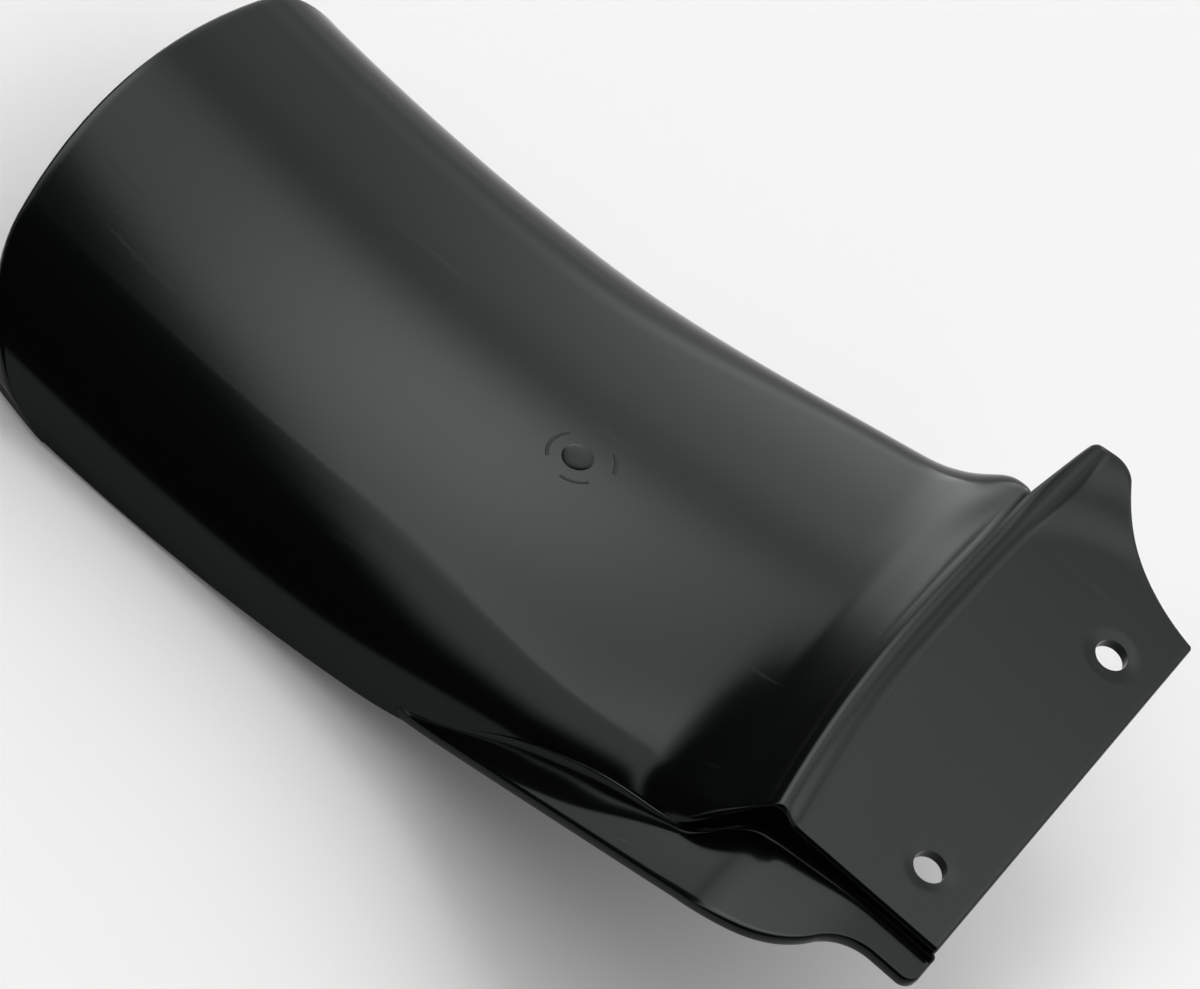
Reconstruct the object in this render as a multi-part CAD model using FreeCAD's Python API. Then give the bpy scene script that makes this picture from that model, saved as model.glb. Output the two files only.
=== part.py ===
import FreeCAD, Part
import math
import os

# Shock absorber guard: a one-piece moulded plastic shell, sizes in millimetres.
# It is drawn from a point midway between the two fixing holes, on the plate's outer face, and
# then raised by the wall, so that the seat face under the plate lies at the origin.
# +Y runs along the guard to its free end, +Z stands out of the plate, towards the tyre.

wall = 2.8                # thickness of the moulded wall

# Fixing plate and its holes
hole_spacing = 68.0
hole_diameter = 7.0
dimple_diameter = 11.5
dimple_depth = 0.3
plate_half = 48.0         # half the width between the plate's side walls
plate_below_holes = 11.3  # from the hole line to the plate's lower edge

# Crest between plate and body, in side view at mid-width
crest_y = 33.0
crest_height = 2.4        # over the plate
crest_radius = 3.2
crest_inner_radius = 7.0  # under the crest, which is not hollow
crest_ramp_radius = 4.5
crest_back_angle = 47.0   # steepness of the body's side of the crest
crest_bow_wing_side = 4.8  # how far the crest's end at the wing lags behind its middle
crest_bow_ear_side = 0.8
crest_bow_centre = 8.0
bow_fade = 45.0           # length of body over which the bow dies away

# Body: a saddle, arched across and dished along its length to clear the tyre
curl_radius = 26.0
sweep_radius = 370.0
sweep_low_y = 165.0
crown_drop = 5.0          # fall of the crown from mid-width to the shoulder
shoulder_half = 55.2      # half the width at the shoulders
shoulder_half_near = 56.0  # the same, next to the flange
shoulder_radius = 14.0    # near the curl
shoulder_growth = 12.0    # what the shoulders' radius gains along the body
growth_from = 57.0
growth_length = 80.0
wall_angle = 76.0         # steepness of the side walls
taper_from = 45.0
taper_length = 50.0

# Corner where the side walls turn in to the plate
corner_from = 27.0
corner_length = 15.0
plate_edge_radius = 0.8
plate_wall_angle = 86.0

# Lower edge of the side walls
edge_low_z = -51.6
edge_low_y = 168.0
edge_radius = 320.0

# Rounded free end, in plan
end_y = 223.3
end_radius = 150.0
end_corner_radius = 26.5
end_corner_half = 34.0    # half the distance between the corners' centres

# Wing: the lower sheet beside the plate, folded down along the body's side
wing_step = 5.2           # below the plate's outer face
wing_slope = 26.8
wing_bend_y = 26.0
wing_bend_softness = 1.5
wing_overhang = 0.7       # past the plate's lower edge
wing_foot_half = 54.4
wing_corner_radius = 3.0
wing_waist_radius = 12.0
wing_lobe_half = 48.3     # from mid-width to the lobe's centre
wing_lobe_y = 27.5
wing_lobe_radius = 23.3
wing_tail_y = 99.0        # where the wing's outline runs into the side wall

# Ear: the plate's tip on the other side, slightly raised
ear_foot_half = 49.0
ear_waist_radius = 46.0
ear_tip_half = 66.8       # from mid-width to the tip's centre
ear_tip_y = 24.6
ear_tip_radius = 6.4
ear_rise = 1.5
ear_rise_centre = (25.0, 3.0)
ear_rise_from = 29.0
ear_rise_length = 24.0

# Mark left by the moulding gate
gate_y = 105.0
gate_diameter = 11.0
gate_spot_diameter = 6.4
gate_height = 0.2


def vec(x, y, z):
    return FreeCAD.Vector(x, y, z)


def ease(value):
    """Smooth change from 0 to 1."""
    t = min(max(value, 0.0), 1.0)
    return t * t * t * (t * (6.0 * t - 15.0) + 10.0)


def blend(start, end, value):
    return start + (end - start) * ease(value)


# Side view of the outer crown: the curl is tangent to the crest, the sweep to the curl
back = math.radians(crest_back_angle)
curl_y = crest_y + (crest_radius + curl_radius) * math.sin(back)
curl_z = crest_height - crest_radius + (crest_radius + curl_radius) * math.cos(back)
sweep_z = curl_z + math.sqrt((sweep_radius - curl_radius) ** 2 - (sweep_low_y - curl_y) ** 2)


def crown(y, depth):
    """Height of the crown line at a distance along the guard, or of the line a depth under it."""
    share = depth / wall
    height = crest_height * (1.0 - share)
    top_radius = crest_radius + (crest_inner_radius - crest_radius) * share
    top_reach = top_radius + curl_radius + depth
    top_z = height - depth - top_radius
    top_y = curl_y - math.sqrt(top_reach ** 2 - (curl_z - top_z) ** 2)
    ramp_angle = math.acos(1.0 - height / (top_radius + crest_ramp_radius))
    ramp_y = top_y - (top_radius + crest_ramp_radius) * math.sin(ramp_angle)
    if y < ramp_y:
        return -depth
    if y < top_y - top_radius * math.sin(ramp_angle):
        return crest_ramp_radius - depth - math.sqrt(crest_ramp_radius ** 2 - (y - ramp_y) ** 2)
    if y < top_y + (curl_y - top_y) * top_radius / top_reach:
        return top_z + math.sqrt(top_radius ** 2 - (y - top_y) ** 2)
    sweep_reach = (sweep_radius + depth) / (sweep_radius - curl_radius)
    if y < sweep_low_y - (sweep_low_y - curl_y) * sweep_reach:
        return curl_z - math.sqrt((curl_radius + depth) ** 2 - (y - curl_y) ** 2)
    return sweep_z - math.sqrt((sweep_radius + depth) ** 2 - (y - sweep_low_y) ** 2)


def lower_edge(y):
    """Height of the side walls' lower edge, which is also the wing's underside."""
    level = -wing_step - wall
    sloped = level - (y - wing_bend_y) * math.tan(math.radians(wing_slope))
    soft = wing_bend_softness
    wing = level - soft * math.log(1.0 + math.exp((level - sloped) / soft))
    arc = edge_low_z + edge_radius - math.sqrt(edge_radius ** 2 - (y - edge_low_y) ** 2)
    if y < 0.5 * (wing_bend_y + wing_tail_y):
        return wing
    return max(wing, arc) + math.log(1.0 + math.exp(-abs(wing - arc)))


def shoulder(y):
    """Half-width of the section at its shoulders, where crown and side wall would meet."""
    clear = blend(shoulder_half_near, shoulder_half, (y - taper_from) / taper_length)
    return blend(plate_half, clear, (y - corner_from) / corner_length)


def turn_in(y):
    """How far a section has left the plate: 0 on the plate, 1 on the body."""
    return (y - corner_from) / (2.0 * corner_length)


def outer(x, y, depth):
    """Height of the crown surface, or of the surface a wall's depth under it."""
    bow = crest_bow_wing_side if x < crest_bow_centre else crest_bow_ear_side
    reach = plate_half + crest_bow_centre if x < crest_bow_centre else plate_half - crest_bow_centre
    lag = bow * ((x - crest_bow_centre) / reach) ** 2
    lag *= ease((crest_y + bow_fade - y) / bow_fade)
    z = crown(y + lag, depth)
    z -= crown_drop * (x / shoulder_half) ** 2 * ease((y - crest_y) / (1.5 * corner_length))
    out = math.hypot(x - ear_rise_centre[0], y - ear_rise_centre[1]) - ear_rise_from
    rise = ear_rise * ease(out / ear_rise_length) * ease((x - ear_rise_centre[0]) / ear_rise_length)
    z += rise * ease((crest_y + corner_length - y) / corner_length)
    return z


def side(y, sign, depth):
    """Shoulder arc and side wall of one section: crown end, arc middle, arc end, wall foot."""
    angle = math.radians(blend(plate_wall_angle, wall_angle, turn_in(y)))
    radius = blend(plate_edge_radius, shoulder_radius, turn_in(y))
    radius += blend(0.0, shoulder_growth, (y - growth_from) / growth_length)
    radius *= radius / (radius + depth)
    half = shoulder(y) - depth * math.tan(0.5 * angle)
    probe = 0.2
    start = half
    for settle in range(3):
        inward = outer(sign * (start - probe), y, depth)
        outward = outer(sign * (start + probe), y, depth)
        fall = math.atan2(inward - outward, 2.0 * probe)
        start = half - radius * math.tan(0.5 * (angle - fall)) * math.cos(fall)
    top = outer(sign * start, y, depth)
    points = []
    for turn in (fall, 0.5 * (fall + angle), angle):
        x = start + radius * (math.sin(turn) - math.sin(fall))
        points.append((x, top - radius * (math.cos(fall) - math.cos(turn))))
    low = lower_edge(y) - 3.0 * wall
    points.append((points[2][0] + (points[2][1] - low) / math.tan(angle), low))
    return [vec(sign * x, y, z) for x, z in points]


def across(y, depth, first, last, spaces):
    """Curve over the crown between two distances from mid-width."""
    shares = [k / spaces for k in range(spaces + 1)]
    points = [vec(x, y, outer(x, y, depth)) for x in (first + (last - first) * share for share in shares)]
    curve = Part.BSplineCurve()
    curve.interpolate(Points=points, Parameters=shares)
    return curve.toShape()


def skin(y, depth, ear_end):
    """Edges of one section's outer or inner skin, from the wing's side to the ear's side."""
    left = side(y, -1.0, depth)
    right = side(y, 1.0, depth)
    edges = [Part.makeLine(left[3], left[2]), Part.Arc(left[2], left[1], left[0]).toShape()]
    edges.append(across(y, depth, left[0].x, right[0].x, 8))
    if ear_end is None:
        edges.append(Part.Arc(right[0], right[1], right[2]).toShape())
        edges.append(Part.makeLine(right[2], right[3]))
        return edges, left[3], right[3]
    edges.append(across(y, depth, right[0].x, ear_end, 4))
    return edges, left[3], vec(ear_end, y, outer(ear_end, y, depth))


def section(y, ear_end=None):
    """Closed profile of the shell across the guard."""
    outside, outside_left, outside_right = skin(y, 0.0, ear_end)
    inside, inside_left, inside_right = skin(y, wall, ear_end)
    edges = list(outside)
    edges.append(Part.makeLine(outside_right, inside_right))
    edges.extend(reversed(inside))
    edges.append(Part.makeLine(inside_left, outside_left))
    return Part.Wire(edges)


def prism(wire, direction):
    return Part.Face(wire).extrude(direction)


def spline(points):
    curve = Part.BSplineCurve()
    curve.interpolate(points)
    return curve.toShape()


def loft(steps, ear_end=None):
    """Shell through the sections at the given distances, as cubic surfaces."""
    return Part.makeLoft([section(y, ear_end) for y in steps], True, False, False, 3)


def polar(centre, radius, angle):
    return centre + vec(radius * math.cos(angle), radius * math.sin(angle), 0.0)


def heading(start, end):
    return math.atan2(end.y - start.y, end.x - start.x)


def arc(centre, radius, first, last):
    """Arc in plan between two headings from its centre."""
    points = [polar(centre, radius, angle) for angle in (first, 0.5 * (first + last), last)]
    return Part.Arc(points[0], points[1], points[2]).toShape()


def meet(first, first_radius, second, second_radius):
    """Where two circles cross, on the right of the way from the first centre to the second."""
    gap = first.distanceToPoint(second)
    along = (first_radius ** 2 - second_radius ** 2 + gap ** 2) / (2.0 * gap)
    return polar(first, first_radius, heading(first, second) - math.acos(along / first_radius))


trim_height = 200.0       # taller than the guard, for the trimming prisms
lift = vec(0.0, 0.0, trim_height)
base = -0.5 * trim_height

# Flange: plate, crest and ear in one loft, trimmed to the ear's outline
flange_length = plate_below_holes + crest_y
flange_steps = [crest_y - flange_length * (1.0 - k / 16.0) ** 1.5 for k in range(17)]
flange = loft(flange_steps, ear_tip_half + 2.0 * ear_tip_radius)
ear_foot = vec(ear_foot_half, -plate_below_holes, base)
ear_tip = vec(ear_tip_half, ear_tip_y, base)
ear_waist = meet(ear_foot, ear_waist_radius, ear_tip, ear_waist_radius + ear_tip_radius)
ear_end = vec(plate_half, crest_y, base)
ear_back = heading(ear_tip, ear_end) - math.acos(ear_tip_radius / ear_tip.distanceToPoint(ear_end))
ear_front = heading(ear_tip, ear_waist)
below = vec(0.0, -2.0 * wall, 0.0)
left_end = vec(-2.0 * plate_half, crest_y, base)
left_foot = vec(-2.0 * plate_half, -plate_below_holes, base) + below
flange_outline = Part.Wire([
    Part.makeLine(ear_foot + below, ear_foot),
    arc(ear_waist, ear_waist_radius, heading(ear_waist, ear_foot), ear_front + math.pi),
    arc(ear_tip, ear_tip_radius, ear_front, ear_back),
    Part.makeLine(polar(ear_tip, ear_tip_radius, ear_back), ear_end),
    Part.makeLine(ear_end, left_end),
    Part.makeLine(left_end, left_foot),
    Part.makeLine(left_foot, ear_foot + below),
])
flange = flange.common(prism(flange_outline, lift))

# Body: curl and saddle in one loft, trimmed to the rounded free end
body_length = end_y + 3.0 - crest_y
body_steps = [crest_y + body_length * (k / 16.0) ** 1.8 for k in range(17)]
body = loft(body_steps)
end_centre_y = end_y - end_radius
corner_y = end_centre_y + math.sqrt((end_radius - end_corner_radius) ** 2 - end_corner_half ** 2)
end_centre = vec(0.0, end_centre_y, base)
corners = [vec(sign * end_corner_half, corner_y, base) for sign in (-1.0, 1.0)]
turns = [heading(end_centre, corner) for corner in corners]
clear_half = shoulder_half + 20.0
body_foot = [vec(sign * clear_half, crest_y, base) for sign in (-1.0, 1.0)]
body_outline = Part.Wire([
    arc(end_centre, end_radius, turns[0], turns[1]),
    arc(corners[1], end_corner_radius, turns[1], 0.0),
    Part.makeLine(polar(corners[1], end_corner_radius, 0.0), body_foot[1]),
    Part.makeLine(body_foot[1], body_foot[0]),
    Part.makeLine(body_foot[0], polar(corners[0], end_corner_radius, math.pi)),
    arc(corners[0], end_corner_radius, math.pi, turns[0]),
])
body = body.common(prism(body_outline, lift))

# Wing: a folded sheet over the lower edge line, trimmed to its outline and let into the wall
edge_start = -plate_below_holes - 10.0
edge_end = end_y + 10.0
edge_steps = [edge_start, 5.0, 15.0, 22.0, 29.0, 36.0, 50.0, 64.0, 78.0, 90.0, 102.0]
edge_steps.extend([115.0, 135.0, 165.0, 200.0, edge_end])
span = 4.0 * ear_tip_half
wing_steps = [y for y in edge_steps if y <= wing_tail_y + 20.0]
under = [vec(-0.5 * span, y, lower_edge(y) - 5.0 * wall) for y in wing_steps]
over = [vec(-0.5 * span, y, lower_edge(y) + wall) for y in wing_steps]
sheet = prism(Part.Wire([
    spline(under),
    Part.makeLine(under[-1], over[-1]),
    spline(over),
    Part.makeLine(over[0], under[0]),
]), vec(span, 0.0, 0.0))


def wall_middle(y):
    """Point in plan inside the wing side's wall, at the height of the wing."""
    outside = side(y, -1.0, 0.5 * wall)
    share = (outside[2].z - lower_edge(y)) / (outside[2].z - outside[3].z)
    return vec(outside[2].x + (outside[3].x - outside[2].x) * share, y, base)


wing_foot_y = -plate_below_holes - wing_overhang
corner = vec(-wing_foot_half + wing_corner_radius, wing_foot_y + wing_corner_radius, base)
lobe = vec(-wing_lobe_half, wing_lobe_y, base)
waist_x = -wing_foot_half - wing_waist_radius
waist_reach = wing_lobe_radius + wing_waist_radius
waist = vec(waist_x, wing_lobe_y - math.sqrt(waist_reach ** 2 - (waist_x - lobe.x) ** 2), base)
wall_steps = [wing_foot_y, 10.0, corner_from, 30.0, 33.0, 36.0, 40.0, 46.0, 60.0, 80.0, wing_tail_y]
wing_inside = [wall_middle(y) for y in wall_steps]
tail = wing_inside[-1]
lobe_from = heading(waist, lobe) + math.pi
lobe_to = heading(lobe, tail) + math.acos(wing_lobe_radius / lobe.distanceToPoint(tail))
wing_outline = Part.Wire([
    arc(corner, wing_corner_radius, 1.5 * math.pi, math.pi),
    Part.makeLine(polar(corner, wing_corner_radius, math.pi), polar(waist, wing_waist_radius, 0.0)),
    arc(waist, wing_waist_radius, 0.0, heading(waist, lobe)),
    arc(lobe, wing_lobe_radius, lobe_from, lobe_to),
    Part.makeLine(polar(lobe, wing_lobe_radius, lobe_to), tail),
    spline(list(reversed(wing_inside))),
    Part.makeLine(wing_inside[0], polar(corner, wing_corner_radius, 1.5 * math.pi)),
])
wing = sheet.common(prism(wing_outline, lift))

# Everything above the lower edge line stays
edge_points = [vec(-0.5 * span, y, lower_edge(y)) for y in edge_steps]
edge_back = vec(-0.5 * span, edge_end, trim_height)
edge_front = vec(-0.5 * span, edge_start, trim_height)
above_edge = prism(Part.Wire([
    spline(edge_points),
    Part.makeLine(edge_points[-1], edge_back),
    Part.makeLine(edge_back, edge_front),
    Part.makeLine(edge_front, edge_points[0]),
]), vec(span, 0.0, 0.0))
shell = flange.fuse([body, wing]).common(above_edge)

# Fixing holes, with the shallow dimples around them
dimple_spread = 0.5 * (dimple_diameter - hole_diameter)
for sign in (-1.0, 1.0):
    at = vec(0.5 * sign * hole_spacing, 0.0, 0.0)
    hole = Part.makeCylinder(0.5 * hole_diameter, 4.0 * wall, at - vec(0.0, 0.0, 2.0 * wall))
    dimple = Part.makeCone(
        0.5 * hole_diameter,
        0.5 * hole_diameter + 2.0 * dimple_spread,
        2.0 * dimple_depth,
        at - vec(0.0, 0.0, dimple_depth),
    )
    shell = shell.cut([hole, dimple])

# Gate mark: a low disc with a smaller one on it, square to the body
gate_at = vec(0.0, gate_y, crown(gate_y, 0.0))
gate_axis = vec(0.0, sweep_low_y - gate_y, sweep_z - gate_at.z).normalize()
gate_root = gate_at - gate_axis * (0.5 * wall)
for diameter, rise in ((gate_diameter, gate_height), (gate_spot_diameter, 2.0 * gate_height)):
    shell = shell.fuse(Part.makeCylinder(0.5 * diameter, 0.5 * wall + rise, gate_root, gate_axis))

shell = shell.removeSplitter()
solid = max(shell.Solids, key=lambda s: s.Volume)

# The seat face under the plate is the part's zero height
solid.translate(vec(0.0, 0.0, wall))
os.makedirs("parts", exist_ok=True)
solid.exportStep("parts/guard_shell.step")
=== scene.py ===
"""Looks of a moulded shock absorber guard: a black gloss shell in a plain studio."""

import logging
import math
from dataclasses import dataclass, field
from enum import Enum

import bpy
from mathutils import Matrix, Vector


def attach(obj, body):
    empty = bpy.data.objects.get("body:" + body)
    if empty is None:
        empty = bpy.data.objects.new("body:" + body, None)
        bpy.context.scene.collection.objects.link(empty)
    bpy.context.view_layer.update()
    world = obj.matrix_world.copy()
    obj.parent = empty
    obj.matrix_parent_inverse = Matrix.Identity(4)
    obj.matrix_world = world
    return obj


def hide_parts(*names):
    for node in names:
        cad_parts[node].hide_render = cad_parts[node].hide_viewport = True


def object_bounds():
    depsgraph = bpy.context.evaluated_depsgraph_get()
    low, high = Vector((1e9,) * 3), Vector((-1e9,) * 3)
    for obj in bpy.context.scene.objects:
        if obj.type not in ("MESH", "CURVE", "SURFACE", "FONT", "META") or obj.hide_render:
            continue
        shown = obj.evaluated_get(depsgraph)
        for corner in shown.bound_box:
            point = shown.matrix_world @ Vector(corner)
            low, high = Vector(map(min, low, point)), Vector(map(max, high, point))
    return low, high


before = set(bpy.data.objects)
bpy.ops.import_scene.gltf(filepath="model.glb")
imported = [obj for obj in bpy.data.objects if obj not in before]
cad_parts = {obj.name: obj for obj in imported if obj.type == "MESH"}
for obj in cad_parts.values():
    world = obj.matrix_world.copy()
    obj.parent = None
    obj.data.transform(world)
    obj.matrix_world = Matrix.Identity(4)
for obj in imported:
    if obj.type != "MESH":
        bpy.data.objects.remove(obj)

LOG = logging.getLogger("shock_guard")
MM = 0.001
BODY = "root"
NODE = "guard_shell"
CAD_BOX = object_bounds()
# Gap between the part and the floor, in metres
FLOOR_GAP = 0.0002
# Rounds in which a place on a skin and what depends on it are brought together
SETTLE_ROUNDS = 3
# Least height of a side wall, in millimetres
LEAST_WALL = 0.05

Pair = tuple[float, float]
Point = tuple[float, float, float]
Colour = tuple[float, float, float]


class Surface(Enum):
    """Which skin of the moulding a finish is for."""

    POLISHED = "polished"
    GATE = "gate"


def ease(value: float) -> float:
    """Smooth change from 0 to 1.

    Args:
        value: Where on the change, clipped to 0 and 1.

    Returns:
        The eased share.
    """
    t = min(max(value, 0.0), 1.0)
    return t * t * t * (t * (6.0 * t - 15.0) + 10.0)


def mix(start: float, end: float, value: float) -> float:
    """Eased blend of two numbers.

    Args:
        start: Number at 0.
        end: Number at 1.
        value: Where between them.

    Returns:
        The number between.
    """
    return start + (end - start) * ease(value)


def put(name: str, data: bpy.types.ID) -> bpy.types.Object:
    """Makes an object and links it to the scene.

    Args:
        name: Name of the object.
        data: Its mesh or camera.

    Returns:
        The object, at the origin.
    """
    made = bpy.data.objects.new(name, data)
    bpy.context.scene.collection.objects.link(made)
    return made


def make_plain(piece: bpy.types.Object, modifier: bpy.types.Modifier) -> bpy.types.Mesh:
    """Turns a piece into the plain mesh that its modifier makes.

    Args:
        piece: The piece.
        modifier: Its only modifier, which is removed.

    Returns:
        The new mesh, smooth shaded.
    """
    graph = bpy.context.evaluated_depsgraph_get()
    mesh = bpy.data.meshes.new_from_object(piece.evaluated_get(graph))
    piece.modifiers.remove(modifier)
    old = piece.data
    piece.data = mesh
    bpy.data.meshes.remove(old)
    mesh.name = piece.name
    mesh.shade_smooth()
    return mesh


def feed(tree: bpy.types.NodeTree, node: bpy.types.Node, inputs: dict[str | int, object]) -> None:
    """Links or sets the inputs of a node.

    Args:
        tree: The node's tree.
        node: The node.
        inputs: A socket to link or a value to set, for each input's name or number.
    """
    for name, value in inputs.items():
        if isinstance(value, bpy.types.NodeSocket):
            tree.links.new(value, node.inputs[name])
        else:
            node.inputs[name].default_value = value


def add_node(tree: bpy.types.NodeTree, kind: str, inputs: dict[str | int, object]) -> bpy.types.Node:
    """Adds a node and feeds its inputs.

    Args:
        tree: The tree to add to.
        kind: The node's type.
        inputs: A socket to link or a value to set, for each input's name or number.

    Returns:
        The node.
    """
    node = tree.nodes.new(kind)
    feed(tree, node, inputs)
    return node


def add_math(tree: bpy.types.NodeTree, operation: str, *values: object) -> bpy.types.NodeSocket:
    """Adds a math node.

    Args:
        tree: The tree to add to.
        operation: The node's operation.
        values: Its inputs in order, each a socket or a number.

    Returns:
        The result's socket.
    """
    node = tree.nodes.new("ShaderNodeMath")
    node.operation = operation
    feed(tree, node, dict(enumerate(values)))
    return node.outputs["Value"]


@dataclass(frozen=True)
class SideLine:
    """One side of a section: where the crown ends, and the arc and wall that follow."""

    start: float
    top: float
    fall: float
    angle: float
    radius: float

    def on_arc(self, share: float) -> Pair:
        """Point of the shoulder arc.

        Args:
            share: 0 at the crown, 1 at the wall.

        Returns:
            Distance from mid-width, and height.
        """
        turn = self.fall + (self.angle - self.fall) * share
        x = self.start + self.radius * (math.sin(turn) - math.sin(self.fall))
        return x, self.top - self.radius * (math.cos(self.fall) - math.cos(turn))

    def on_wall(self, share: float, foot_z: float) -> Pair:
        """Point of the side wall.

        Args:
            share: 0 at the arc, 1 at the foot.
            foot_z: Height of the foot.

        Returns:
            Distance from mid-width, and height.
        """
        x, z = self.on_arc(1.0)
        low = z + (min(foot_z, z - LEAST_WALL) - z) * share
        return x + (z - low) / math.tan(self.angle), low


@dataclass(frozen=True)
class GuardForm:
    """Sizes of the guard in millimetres, and the rules that its skins follow."""

    # Sheet, plate and holes
    wall: float = 2.8
    edge_round: float = 0.6
    hole_half: float = 34.0
    hole_radius: float = 3.5
    dimple_radius: float = 5.75
    dimple_depth: float = 0.12
    plate_half: float = 48.0
    plate_foot: float = -11.3
    # Crest, and how it bows across the guard
    crest_y: float = 33.0
    crest_height: float = 2.4
    crest_radius: float = 3.2
    crest_inner_radius: float = 7.0
    crest_ramp_radius: float = 4.5
    crest_back_angle: float = 47.0
    bow_wing: float = 4.8
    bow_ear: float = 0.8
    bow_centre: float = 8.0
    bow_fade: float = 45.0
    # Body in side view and in section
    curl_radius: float = 26.0
    sweep_radius: float = 370.0
    sweep_low_y: float = 165.0
    crown_drop: float = 5.0
    crown_drop_length: float = 22.5
    shoulder_half: float = 55.2
    shoulder_near: float = 56.0
    shoulder_radius: float = 14.0
    shoulder_growth: float = 12.0
    growth_from: float = 57.0
    growth_length: float = 80.0
    wall_angle: float = 76.0
    taper_from: float = 45.0
    taper_length: float = 50.0
    corner_from: float = 27.0
    corner_length: float = 15.0
    plate_edge_radius: float = 0.8
    plate_wall_angle: float = 86.0
    # Lower edge and free end
    edge_low_z: float = -51.6
    edge_low_y: float = 168.0
    edge_radius: float = 320.0
    end_y: float = 223.3
    end_radius: float = 150.0
    end_corner_radius: float = 26.5
    end_corner_half: float = 34.0
    end_run_out: float = 20.0
    # Wing
    wing_step: float = 5.2
    wing_slope: float = 26.8
    wing_bend_y: float = 26.0
    wing_bend_soft: float = 1.5
    wing_tail_y: float = 99.0
    wing_lift: float = 2.2
    wing_lift_length: float = 27.0
    # Ear
    ear_foot_half: float = 49.0
    ear_waist_radius: float = 46.0
    ear_tip_half: float = 66.8
    ear_tip_y: float = 24.6
    ear_tip_radius: float = 6.4
    ear_rise: float = 1.5
    ear_rise_x: float = 25.0
    ear_rise_y: float = 3.0
    ear_rise_from: float = 29.0
    ear_rise_length: float = 24.0
    # Half the step over which a skin's slope is read
    slope_probe: float = 0.2

    @property
    def curl(self) -> Pair:
        """Finds the curl's arc in side view.

        Returns:
            Distance along the guard and height of its centre.
        """
        back = math.radians(self.crest_back_angle)
        reach = self.crest_radius + self.curl_radius
        return (
            self.crest_y + reach * math.sin(back),
            self.crest_height - self.crest_radius + reach * math.cos(back),
        )

    @property
    def sweep_z(self) -> float:
        """Finds the body's long sweep in side view.

        Returns:
            Height of its centre.
        """
        curl_y, curl_z = self.curl
        reach = self.sweep_radius - self.curl_radius
        return curl_z + math.sqrt(reach**2 - (self.sweep_low_y - curl_y) ** 2)

    def crown(self, y: float, depth: float) -> float:
        """Height of the crown line in side view.

        Args:
            y: Distance along the guard.
            depth: How far under the outer skin the line runs.

        Returns:
            The line's height.
        """
        curl_y, curl_z = self.curl
        share = depth / self.wall
        height = self.crest_height * (1.0 - share)
        top_radius = self.crest_radius + (self.crest_inner_radius - self.crest_radius) * share
        top_reach = top_radius + self.curl_radius + depth
        top_z = height - depth - top_radius
        top_y = curl_y - math.sqrt(top_reach**2 - (curl_z - top_z) ** 2)
        ramp = self.crest_ramp_radius
        ramp_angle = math.acos(1.0 - height / (top_radius + ramp))
        ramp_y = top_y - (top_radius + ramp) * math.sin(ramp_angle)
        if y < ramp_y:
            return -depth
        if y < top_y - top_radius * math.sin(ramp_angle):
            return ramp - depth - math.sqrt(ramp**2 - (y - ramp_y) ** 2)
        if y < top_y + (curl_y - top_y) * top_radius / top_reach:
            return top_z + math.sqrt(top_radius**2 - (y - top_y) ** 2)
        sweep_reach = (self.sweep_radius + depth) / (self.sweep_radius - self.curl_radius)
        if y < self.sweep_low_y - (self.sweep_low_y - curl_y) * sweep_reach:
            return curl_z - math.sqrt((self.curl_radius + depth) ** 2 - (y - curl_y) ** 2)
        return self.sweep_z - math.sqrt((self.sweep_radius + depth) ** 2 - (y - self.sweep_low_y) ** 2)

    def lower_edge(self, y: float) -> float:
        """Height of the side walls' lower edge, which the wing's underside follows.

        Args:
            y: Distance along the guard.

        Returns:
            The edge's height.
        """
        level = -self.wing_step - self.wall
        sloped = level - (y - self.wing_bend_y) * math.tan(math.radians(self.wing_slope))
        soft = self.wing_bend_soft
        wing = level - soft * math.log(1.0 + math.exp((level - sloped) / soft)) + self.lift(y)
        arc = self.edge_low_z + self.edge_radius
        arc -= math.sqrt(self.edge_radius**2 - (y - self.edge_low_y) ** 2)
        if y < 0.5 * (self.wing_bend_y + self.wing_tail_y):
            return wing
        return max(wing, arc) + math.log(1.0 + math.exp(-abs(wing - arc)))

    def lift(self, y: float) -> float:
        """How far the wing stands nearer to the plate's level towards its foot."""
        return mix(self.wing_lift, 0.0, y / self.wing_lift_length)

    def turn_in(self, y: float) -> float:
        """How far a section has left the plate: 0 on the plate, 1 on the body."""
        return (y - self.corner_from) / (2.0 * self.corner_length)

    def shoulder(self, y: float) -> float:
        """Half-width of the section where crown and side wall would meet."""
        clear = mix(self.shoulder_near, self.shoulder_half, (y - self.taper_from) / self.taper_length)
        return mix(self.plate_half, clear, (y - self.corner_from) / self.corner_length)

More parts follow.
